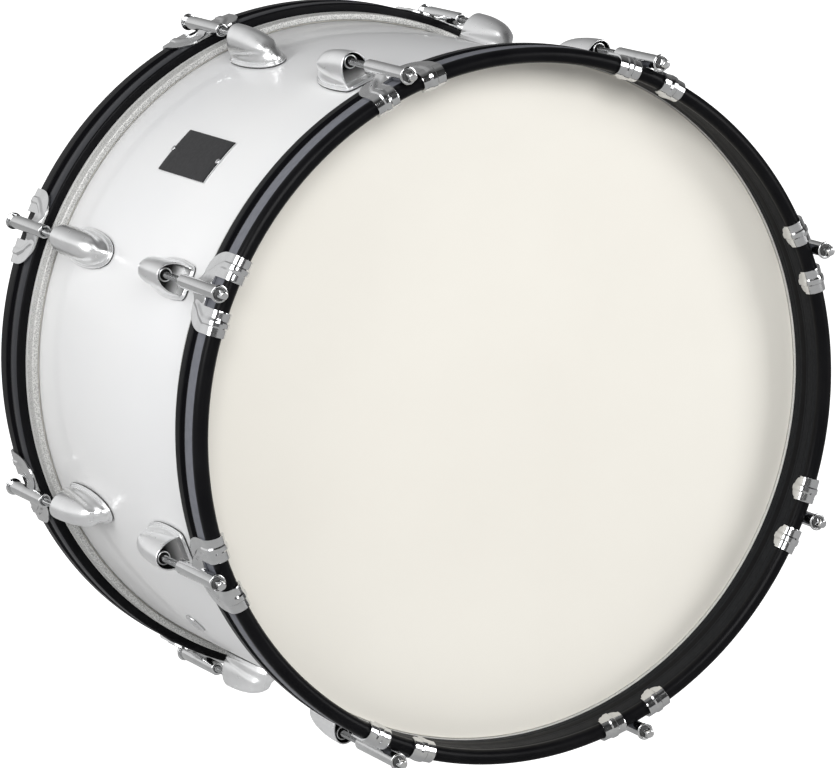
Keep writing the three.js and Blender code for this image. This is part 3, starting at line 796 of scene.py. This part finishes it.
def lug_body(bm):
    tip = BODY_STATIONS[0][0]
    stations = [
        LUG_FACE + (tip - LUG_FACE) * (1 - (1 - k / BODY_STEPS) ** STATION_POWER)
        for k in range(BODY_STEPS + 1)
    ]
    crown = [row(bm, crown_section(station)) for station in stations]

    # The crease runs down one side, across the nose and back up the other side
    crease = [section[-1] for section in crown]
    crease += crown[-1][::-1][1:-1]
    crease += [section[0] for section in crown[::-1]]
    last = len(crease) - 1
    face_share = 0.0
    while foot_point(face_share)[1] > LUG_FACE:
        face_share += 0.002
    feet = []
    for index in range(last + 1):
        mirrored = 1 - abs(1 - 2 * index / last)
        side_part = 2 * BODY_STEPS / last
        if mirrored <= side_part:
            forward = (mirrored / side_part) ** FOOT_POWER
            share = face_share + (NOSE_SHARE - face_share) * forward
        else:
            share = NOSE_SHARE + (1 - NOSE_SHARE) * (mirrored - side_part) / (1 - side_part)
        across, station = foot_point(share)
        if index in (0, last):
            station = LUG_FACE
        feet.append(Vector((across if 2 * index <= last else -across, station, FOOT_LEVEL)))
    walls = []
    for step in range(WALL_STEPS):
        share = step / WALL_STEPS
        points = []
        for index, vert in enumerate(crease):
            foot, top = feet[index], vert.co
            nearness = 1 - abs(1 - 2 * index / last)
            hollow = WALL_HOLLOW * math.sin(math.pi * nearness) * (
                math.sin(math.pi * share) ** 2 * share * 2
            )
            swell = SWELL * math.sin(math.pi * min(share * 1.6, 1.0))
            out = Vector((foot.x, (foot.y - FLANGE_WIDEST) * 0.6, 0)).normalized()
            height = foot.z + (top.z - foot.z) * share
            lean = share**WALL_POWER
            across = foot.x + (top.x - foot.x) * lean
            station = foot.y + (top.y - foot.y) * lean
            point = Vector((across, station, height)) + out * (swell - hollow)
            if index in (0, last):
                point.y = LUG_FACE
            points.append(point)
        walls.append(row(bm, points))
    fill(bm, walls + [crease])
    fill(bm, crown)

    # Rim and pocket of the open face
    outline = [wall[0] for wall in walls] + crown[0][::-1] + [wall[-1] for wall in walls[::-1]]
    places = [vert.co.copy() for vert in outline]
    rings = [outline]
    middle = Vector((0, LUG_FACE, 9.0))
    for inset, forward in RIM_LEVELS:
        points = []
        for index, point in enumerate(places):
            before = places[max(index - 1, 0)]
            after = places[min(index + 1, len(places) - 1)]
            along = after - before
            normal = Vector((-along.z, 0, along.x)).normalized()
            if normal.dot(middle - point) < 0:
                normal = -normal
            moved = point + normal * inset
            if index in (0, len(places) - 1):
                moved.z = point.z
            points.append((moved.x, LUG_FACE + forward, max(moved.z, FOOT_LEVEL)))
        rings.append(row(bm, points))
    fill(bm, rings)
    # The pocket's faces take the second finish, which holds the painted shade.
    hollow = {bm.faces.new(rings[-1])}
    for vert in rings[-1]:
        hollow.update(vert.link_faces)
    for face in hollow:
        face.material_index = 1


def lug_mesh():
    bm = bmesh.new()
    slab(bm, FLANGE_LEVELS)
    lug_body(bm)
    nut = rounded([
        (NUT_BORE, LUG_FACE - 5.0, 0),
        (NUT_RADIUS, LUG_FACE - 5.0, 0),
        (NUT_RADIUS, LUG_FACE - 2.6, 0.6),
        (4.9, LUG_FACE - 2.4, 0.1),
        (4.7, LUG_FACE - 3.0, 0.1),
        (4.3, LUG_FACE - 3.0, 0.1),
        (4.2, LUG_FACE - 1.2, 0.5),
        (NUT_BORE, LUG_FACE - 1.2, 0.2),
    ], 3)
    before = set(bm.faces)
    lathe(bm, nut, steps=40, height=ROD_AXIS - LUG_SEAT)
    # The nut's face around the rod takes the pocket's painted shade too.
    for face in set(bm.faces) - before:
        middle = face.calc_center_median()
        if math.hypot(middle.x, middle.z - ROD_AXIS + LUG_SEAT) < NUT_FACE:
            face.material_index = 1
    bmesh.ops.translate(bm, vec=(0, 0, LUG_SEAT), verts=bm.verts[:])
    return to_mesh("lug", bm, 32)


def gasket_mesh():
    bm = bmesh.new()
    slab(bm, GASKET_LEVELS)
    bmesh.ops.translate(bm, vec=(0, 0, LUG_SEAT - 0.3), verts=bm.verts[:])
    return to_mesh("gasket", bm)


# Claw
EAR_COLUMNS = 22
BRIDGE_COLUMNS = 12
REAR_ROWS = 12
FRONT_ROWS = 8
BEND_ROWS = 16
TAB_ROWS = 6
RIB_HALF = 2.7
RIB_FLANK = 0.7
RIB_HEIGHT = 0.95
RIB_RISE = 6.0
RIB_SWEEP = 28.0
RIB_MIDDLE_REAR = 9.5
NECK_FOOT = 13.0
NECK_FLAT = 3.5
NECK_POWER = 1.6
NECK_FADE_START = 13.0
NECK_FADE = 8.0
EAR_STRAIGHT = 13.0
EAR_POWER = 2.2
TAB_POWER = 2.2


def rib_middle(station):
    share = ease((station - PLATE_REAR + 2.0) / RIB_SWEEP)
    return RIB_MIDDLE_REAR + (STRAP_MIDDLE - RIB_MIDDLE_REAR) * share


def relief(across, station, past_bend):
    """Height of the neck and of the rib over the plate."""
    distance = abs(across)
    middle = STRAP_MIDDLE if past_bend else rib_middle(station)
    off = abs(distance - middle)
    rib = RIB_HEIGHT * (1 - ease((off - RIB_HALF + RIB_FLANK) / RIB_FLANK))
    if past_bend:
        return rib
    start = ease((station - PLATE_REAR + 1.0) / RIB_RISE)
    side = ease(1 - (distance - NECK_FLAT) / (NECK_FOOT - NECK_FLAT))
    fade = 1 - ease((station - PLATE_REAR - NECK_FADE_START) / NECK_FADE)
    neck = (ROD_AXIS - PLATE_SEAT - PLATE_THICKNESS) * side**NECK_POWER * fade
    return max(rib * start, neck)


def ear_rear(across):
    """Rear edge of the plate: straight near the rod, then round to the side."""
    if across <= EAR_STRAIGHT:
        return PLATE_REAR
    share = min((across - EAR_STRAIGHT) / (EAR_HALF - EAR_STRAIGHT), 1)
    rounding = 1 - math.sqrt(max(1 - share**EAR_POWER, 0))
    return PLATE_REAR + (EAR_CORNER_END - PLATE_REAR) * rounding


def claw_track(station_or_angle, kind):
    """Seat point and outward direction (station, radius) on the hoop's section."""
    if kind == "plate":
        return (station_or_angle, PLATE_SEAT), (0.0, 1.0)
    if kind == "tab":
        return (station_or_angle, HOOP_INNER - CLAW_GAP), (0.0, -1.0)
    reach = HOOP_EDGE_RADIUS + CLAW_GAP
    direction = (math.cos(station_or_angle), math.sin(station_or_angle))
    seat = (HOOP_EDGE_CENTRE + reach * direction[0], HOOP_MIDDLE + reach * direction[1])
    return seat, direction


def ear_positions(across):
    """The rows of one column of an ear, from the rear edge to the end of the tab."""
    start = ear_rear(across)
    lean = (across - WINDOW_HALF) / (EAR_HALF - WINDOW_HALF)
    join = WINDOW_REAR + (HOOP_EDGE_CENTRE - 3.0 - WINDOW_REAR) * lean
    rows = [(start + (join - start) * k / REAR_ROWS, "plate") for k in range(REAR_ROWS + 1)]
    rows += [
        (join + (HOOP_EDGE_CENTRE - join) * k / FRONT_ROWS, "plate")
        for k in range(1, FRONT_ROWS + 1)
    ]
    rows += [(math.pi * (0.5 - k / BEND_ROWS), "bend") for k in range(1, BEND_ROWS)]
    half = (EAR_HALF - WINDOW_HALF) / 2
    middle = (EAR_HALF + WINDOW_HALF) / 2
    off = min(abs(across - middle) / (half * TAB_SHARE), 1)
    rounding = math.sqrt(1 - off**TAB_POWER)
    end = HOOP_EDGE_CENTRE - (HOOP_EDGE_CENTRE - TAB_END) * rounding - 0.3
    rows += [
        (HOOP_EDGE_CENTRE + (end - HOOP_EDGE_CENTRE) * k / TAB_ROWS, "tab")
        for k in range(TAB_ROWS + 1)
    ]
    return rows


def claw_point(across, where, kind, top):
    seat, direction = claw_track(where, kind)
    lift = 0.0
    if top:
        station = where if kind == "plate" else HOOP_EDGE_CENTRE
        lift = PLATE_THICKNESS + relief(across, station, kind != "plate")
    y = seat[0] + direction[0] * lift
    r = seat[1] + direction[1] * lift
    angle = across / HOOP_OUTER
    return (r * math.sin(angle), y, r * math.cos(angle))


def claw_plate(bm):
    ear = [
        WINDOW_HALF + (EAR_HALF - WINDOW_HALF) * math.sin(math.pi / 2 * k / EAR_COLUMNS)
        for k in range(EAR_COLUMNS + 1)
    ]
    bridge = [
        -WINDOW_HALF + 2 * WINDOW_HALF * k / BRIDGE_COLUMNS for k in range(1, BRIDGE_COLUMNS)
    ]
    faces = {}
    for top in (True, False):
        columns = []
        for sign, acrosses in ((-1, ear[::-1]), (1, ear)):
            for across in acrosses:
                columns.append(row(bm, [
                    claw_point(sign * across, where, kind, top)
                    for where, kind in ear_positions(across)
                ]))
        left, right = columns[:len(ear)], columns[len(ear):]
        middle = []
        for across in bridge:
            points = []
            for k in range(REAR_ROWS + 1):
                station = PLATE_REAR + (WINDOW_REAR - PLATE_REAR) * k / REAR_ROWS
                points.append(claw_point(across, station, "plate", top))
            middle.append(row(bm, points))
        fill(bm, left)
        fill(bm, right)
        joined = [left[-1][:REAR_ROWS + 1], *middle, right[0][:REAR_ROWS + 1]]
        fill(bm, joined)
        rim = left[0][::-1] + [c[0] for c in left[1:]] + [c[0] for c in middle]
        rim += [c[0] for c in right] + right[-1][1:]
        rim += [c[-1] for c in right[-2::-1]] + right[0][REAR_ROWS:-1][::-1]
        rim += [c[-1] for c in middle[::-1]] + left[-1][REAR_ROWS:]
        rim += [c[-1] for c in left[-2:0:-1]]
        faces[top] = rim
    fill(bm, [faces[True], faces[False]], closed_columns=True)


def sleeve(bm):
    profile = rounded([
        (SLEEVE_BORE, SLEEVE_REAR, 0.5),
        (SLEEVE_RADIUS, SLEEVE_REAR, 1.0),
        (SLEEVE_RADIUS, SLEEVE_FRONT, 0.5),
        (SLEEVE_BORE, SLEEVE_FRONT, 0.3),
    ], 4)
    lathe(bm, profile, steps=48, height=ROD_AXIS)


def claw_mesh():
    bm = bmesh.new()
    claw_plate(bm)
    bmesh.ops.recalc_face_normals(bm, faces=bm.faces[:])
    rim = [e for e in bm.edges if e.is_manifold and e.calc_face_angle(0) > math.radians(60)]
    bmesh.ops.bevel(
        bm, geom=rim, offset=0.4, segments=2, profile=0.5, affect="EDGES", clamp_overlap=True
    )
    sleeve(bm)
    return to_mesh("claw", bm, 35)


# Badge and vent eyelet
def shell_place(angle, station=0.0):
    """Z points out of the drum at an angle counted from +X towards +Z."""
    turn = Matrix.Rotation(math.pi / 2 - math.radians(angle), 4, "Y")
    return side_place("rear") @ turn @ Matrix.Translation((0, station * MM, 0))


def badge_mesh():
    """A thin plate bent to the wrap, with small bevels and rounded corners."""
    half_width = BADGE_SEAT * math.radians(BADGE_HALF_SWEEP)
    half_length = BADGE_LENGTH / 2
    columns = [-half_width + d for d in BADGE_BEVEL]
    columns += [half_width * k / 12 for k in range(-11, 12)]
    columns += [half_width - d for d in BADGE_BEVEL[::-1]]
    bm = bmesh.new()
    faces = []
    for top in (True, False):
        rows = []
        for across in sorted(columns):
            edge = half_width - abs(across)
            cut = BADGE_CORNER - math.sqrt(max(
                BADGE_CORNER**2 - max(BADGE_CORNER - edge, 0) ** 2, 0
            ))
            end = half_length - cut
            places = [end - d for d in BADGE_BEVEL]
            places += [end * (1 - k / 5) for k in range(1, 10)]
            places += [d - end for d in BADGE_BEVEL[::-1]]
            points = []
            for along in places:
                inset = min(edge, end - abs(along))
                raised = BADGE_THICKNESS * (0.45 + 0.55 * ease(inset / 0.8))
                radius = BADGE_SEAT + (raised if top else 0.0)
                angle = across / BADGE_SEAT
                points.append((radius * math.sin(angle), along, radius * math.cos(angle)))
            rows.append(row(bm, points))
        fill(bm, rows)
        faces.append(
            rows[0] + [r[-1] for r in rows[1:-1]] + rows[-1][::-1]
            + [r[0] for r in rows[-2:0:-1]]
        )
    before = set(bm.faces)
    fill(bm, faces, closed_columns=True)
    for face in set(bm.faces) - before:
        face.material_index = 1
    return to_mesh("badge", bm, 40)


def nail_mesh():
    return radial("nail", rounded([
        (0.0, BADGE_SEAT - 3, 0), (1.1, BADGE_SEAT - 3, 0),
        (1.1, BADGE_SEAT + BADGE_THICKNESS, 0), (2.6, BADGE_SEAT + BADGE_THICKNESS, 0.2),
        (2.4, BADGE_SEAT + BADGE_THICKNESS + 0.9, 0.5),
        (0.9, BADGE_SEAT + BADGE_THICKNESS + 1.5, 0.6),
        (0.0, BADGE_SEAT + BADGE_THICKNESS + 1.5, 0),
    ], 3))


def eyelet_mesh():
    top = VENT_SEAT + 1.9
    inside = VENT_ROLL_SEAT
    return radial("eyelet", rounded([
        (VENT_BORE, inside, 0.8), (VENT_ROLL, inside, 0.7), (VENT_ROLL, inside + 1.4, 0.4),
        (VENT_BORE + 1.2, inside + 1.4, 0.2), (VENT_BORE + 1.2, VENT_SEAT, 0.2),
        (VENT_FLANGE, VENT_SEAT, 0.2), (VENT_FLANGE - 0.4, VENT_SEAT + 0.9, 0.5),
        (VENT_BORE + 2.0, top, 1.2), (VENT_BORE, top - 2.2, 1.4),
    ], 5))


def with_hole(mesh, hole, place):
    """Cuts a mesh by another one that stands at a place."""
    bodies = [bpy.data.objects.new("cut", data) for data in (mesh, hole)]
    for body in bodies:
        bpy.context.scene.collection.objects.link(body)
    bodies[0].matrix_world = side_place("rear")
    bodies[1].matrix_world = place
    cut = bodies[0].modifiers.new("cut", "BOOLEAN")
    cut.operation, cut.solver, cut.object = "DIFFERENCE", "EXACT", bodies[1]
    bpy.context.view_layer.update()
    graph = bpy.context.evaluated_depsgraph_get()
    made = bpy.data.meshes.new_from_object(bodies[0].evaluated_get(graph))
    for body in bodies:
        bpy.data.objects.remove(body)
    made.materials.clear()
    made.shade_smooth()
    made.set_sharp_from_angle(angle=math.radians(30))
    return made


# Rod. One turn of its thread: share of the pitch, and share of the depth
THREAD_FORM = [(0.0, 0.0), (0.35, 1.0), (0.5, 1.0), (0.85, 0.0)]


def thread(bm, start, end, steps=18):
    rows = []
    turns = int((end - start) / THREAD_PITCH)
    for turn in range(turns):
        for share, raised in THREAD_FORM:
            radius = ROD_RADIUS - THREAD_DEPTH * (1 - raised)
            points = []
            for step in range(steps + 1):
                angle = FULL_TURN * step / steps
                y = start + THREAD_PITCH * (turn + share + step / steps)
                points.append((radius * math.sin(angle), y, radius * math.cos(angle)))
            rows.append(points)
    verts = [row(bm, points) for points in rows]
    fill(bm, verts)
    bmesh.ops.remove_doubles(bm, verts=bm.verts[:], dist=0.001)


def rod_mesh():
    bm = bmesh.new()
    thread(bm, THREAD_START, THREAD_END)
    core = ROD_RADIUS - THREAD_DEPTH
    lathe(bm, [
        (0, SHAFT_START), (core - 0.5, SHAFT_START), (core, SHAFT_START + 0.6),
        (core, SHAFT_END), (0, SHAFT_END),
    ], steps=24)
    washer = rounded([
        (ROD_RADIUS, WASHER_START, 0),
        (WASHER_RADIUS, WASHER_START, 0.4),
        (WASHER_RADIUS, WASHER_END - 0.2, 0.6),
        (5.6, WASHER_END, 0.3),
        (5.3, WASHER_END - 0.7, 0.1),
        (ROD_RADIUS, WASHER_END - 0.7, 0),
    ], 3)
    shaft = set(bm.faces)
    lathe(bm, washer, steps=48)
    collar = rounded([
        (0.5, WASHER_END - 0.8, 0),
        (4.7, WASHER_END - 0.8, 0.2),
        (4.7, WASHER_END + 0.9, 0.5),
        (0.5, WASHER_END + 0.9, 0),
    ], 3)
    before = set(bm.faces)
    lathe(bm, collar, steps=40)
    recess = set(bm.faces) - before
    key_head(bm)
    for face in set(bm.faces) - shaft:
        face.material_index = 1 if face in recess else 2
    return to_mesh("rod", bm, 40)


def key_head(bm):
    half = KEY_WIDTH / 2
    steps = 32
    levels = [
        (WASHER_END, 8.0, 1.0), (KEY_END - 2.6, 8.0, 1.0), (KEY_END - 1.6, 4.0, 1.02),
        (KEY_END - 0.9, 2.6, 1.0), (KEY_END - 0.35, 2.0, 0.96), (KEY_END - 0.05, 2.0, 0.86),
        (KEY_END, 2.0, 0.7),
    ]
    rows = []
    for station, power, scale in levels:
        points = []
        for step in range(steps):
            angle = FULL_TURN * (step + 0.5) / steps
            x, z = math.sin(angle), math.cos(angle)
            radius = half * scale / (abs(x) ** power + abs(z) ** power) ** (1 / power)
            points.append((radius * x, station, radius * z))
        rows.append(row(bm, points))
    fill(bm, rows, closed_columns=True)
    bm.faces.new(rows[0])
    bm.faces.new(rows[-1])


make_camera()

LACQUER, FLESH = hoop_lacquer(), flesh_ring()
CHANNEL_PAINTED_SHADE, SATIN, POCKET_PAINTED_SHADE = channel_painted_shade(), hoop_satin(), cast_pocket_painted_shade()
FILM, WRAP, CAST, BRIGHT = head_film(), white_wrap(), cast_chrome(), bright_chrome()
ROD_FINISH, GASKET_AND_PAINTED_SHADE, BADGE, MAPLE = rod_steel(), gasket_and_painted_shade(), badge_face(), maple_ply()

# Rings
flesh = turned("flesh", flesh_profile())
film = turned("film", film_profile())
for side in SIDES:
    place = side_place(side)
    carrier = f"{side}_hoop_set"
    hoop = turned(f"{side}_hoop", hoop_profile(side))
    put(f"{side}_hoop_band", hoop, LACQUER, carrier, [f"{side}_hoop"], place)
    start, end = STRIPES[side]
    stripe = turned("stripe", inlay_profile(start + 0.3, end - 0.3, HOOP_OUTER - 0.02))
    # Each side's stripe takes its own level of painted light.
    slate_with_painted_light = hoop_stripe(side, STRIPE_TONES_WITH_PAINTED_LIGHT[side])
    put(f"{side}_hoop_stripe", stripe, slate_with_painted_light, carrier, (), place)
    start, end = CHANNELS[side]
    # The sheet in the channel carries the painted shade of the groove.
    bed = HOOP_OUTER - CHANNEL_DEPTH + 0.1
    lining = turned("lining", inlay_profile(start + 0.75, end - 0.75, bed))
    put(f"{side}_hoop_channel", lining, CHANNEL_PAINTED_SHADE, carrier, (), place)
    wall = turned("wall", wall_profile())
    put(f"{side}_hoop_wall", wall, SATIN, carrier, (), place)
    put(f"{side}_flesh_ring", flesh, FLESH, carrier, [f"{side}_flesh_hoop"], place)
    put(f"{side}_head_film", film, FILM, carrier, [f"{side}_head"], place)
wrap = turned("wrap", wrap_profile())
drill = radial("drill", [
    (0, DRILL_START), (VENT_CUT, DRILL_START), (VENT_CUT, DRILL_END), (0, DRILL_END),
], 40)
vent_place = shell_place(VENT_ANGLE, VENT_STATION)
wrap = with_hole(wrap, drill, vent_place)
put("white_wrap_sheet", wrap, WRAP, "drum_shell", ["shell_wrap"], side_place("rear"))
eyelet = eyelet_mesh()
dress(eyelet, BRIGHT, GASKET_AND_PAINTED_SHADE)
# Painted shade: faces in the eyelet's throat take the dark colour, standing for the shade inside
# the hole.
for face in eyelet.polygons:
    if math.hypot(face.center.x, face.center.y) < VENT_THROAT * MM:
        face.material_index = 1
put("vent_eyelet", eyelet, BRIGHT, "drum_shell", ["vent_grommet"], vent_place)
badge_place = shell_place(BADGE_ANGLE, BADGE_STATION)
badge = badge_mesh()
dress(badge, BADGE, BRIGHT)
put("badge_sheet", badge, BADGE, "drum_shell", ["badge_plate"], badge_place)
nail = nail_mesh()
for end, away in (("front", -1), ("rear", 1)):
    slide = Matrix.Translation((0, away * (BADGE_LENGTH / 2 - NAIL_INSET) * MM, 0))
    put(
        f"badge_nail_{end}", nail, BRIGHT, "drum_shell", [f"badge_pin_{end}"],
        badge_place @ slide,
    )

# Posts
lug, gasket, claw, rod = lug_mesh(), gasket_mesh(), claw_mesh(), rod_mesh()
dress(lug, CAST, POCKET_PAINTED_SHADE)
dress(rod, ROD_FINISH, GASKET_AND_PAINTED_SHADE, BRIGHT)
rod_lift = Matrix.Translation((0, 0, ROD_AXIS * MM))
for side in SIDES:
    carrier = f"{side}_hoop_set"
    for number in range(1, POSTS + 1):
        place = post_place(side, number)
        tag = f"{side}_{{}}_{number}".format
        put(tag("lug") + "_casting", lug, CAST, "drum_shell", [tag("lug")], place)
        put(tag("lug") + "_gasket", gasket, GASKET_AND_PAINTED_SHADE, "drum_shell", (), place)
        put(tag("claw") + "_hook", claw, BRIGHT, carrier, [tag("claw")], place)
        put(
            tag("rod") + "_screw", rod, ROD_FINISH, tag("rod") + "_body",
            [tag("rod")], place @ rod_lift,
        )

# The shell shows as it is
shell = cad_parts["shell"].data
shell.materials.clear()
dress(shell, MAPLE)


# Studio
def studio():
    scene = bpy.context.scene
    scene.view_settings.view_transform = "Standard"
    world = bpy.data.worlds.new("studio")
    scene.world = world
    world.use_nodes = True
    tree = world.node_tree

    def node(kind, **values):
        made = tree.nodes.new(kind)
        for name, value in values.items():
            made.inputs[name].default_value = value
        return made

    direction = node("ShaderNodeTexCoord")
    split = node("ShaderNodeSeparateXYZ")
    tree.links.new(direction.outputs["Generated"], split.inputs["Vector"])
    levels = []
    for axis, values in WORLD_LEVELS.items():
        start, end, low, high = values
        spread = node("ShaderNodeMapRange", **{
            "From Min": start, "From Max": end, "To Min": low, "To Max": high,
        })
        spread.interpolation_type = "SMOOTHSTEP"
        tree.links.new(split.outputs[axis], spread.inputs["Value"])
        levels.append(spread.outputs["Result"])
    product = levels[0]
    for level in levels[1:]:
        step = node("ShaderNodeMath")
        step.operation = "MULTIPLY"
        tree.links.new(product, step.inputs[0])
        tree.links.new(level, step.inputs[1])
        product = step.outputs["Value"]
    background = tree.nodes["Background"]
    tree.links.new(product, background.inputs["Color"])
    background.inputs["Strength"].default_value = 1.0


def soft_light(name, place, size, power):
    data = bpy.data.lights.new(name, "AREA")
    data.shape = "RECTANGLE"
    data.size, data.size_y = size
    data.energy = power
    lamp = bpy.data.objects.new(name, data)
    lamp.location = place
    lamp.rotation_mode = "QUATERNION"
    lamp.rotation_quaternion = (Vector(LIGHT_AIM) - Vector(place)).to_track_quat("-Z", "Y")
    bpy.context.scene.collection.objects.link(lamp)


def floor(name, shade, glow):
    bm = bmesh.new()
    corners = ((-1, -1), (1, -1), (1, 1), (-1, 1))
    bm.faces.new(row(bm, [(x * FLOOR_REACH, y * FLOOR_REACH, 0) for x, y in corners]))
    mesh = bpy.data.meshes.new(name)
    bm.to_mesh(mesh)
    bm.free()
    piece = bpy.data.objects.new(name, mesh)
    bpy.context.scene.collection.objects.link(piece)
    made = Finish(name, (shade,) * 3, 0.9)
    made.set("Specular IOR Level", 0.0)
    made.set("Emission Color", (1, 1, 1, 1))
    made.set("Emission Strength", glow)
    made.vary_colour(made.noise(2, 2), (shade * 0.98,) * 3, (shade * 1.02,) * 3)
    mesh.materials.append(made.material)
    return piece


studio()
lit_floor = floor("floor", FLOOR_SHADE, FLOOR_GLOW)
lit_floor.visible_diffuse = lit_floor.visible_glossy = False
bounce_floor = floor("floor_bounce", BOUNCE_SHADE, BOUNCE_GLOW)
bounce_floor.visible_camera = False
for name, (place, size, power) in LIGHTS.items():
    soft_light(name, place, size, power)
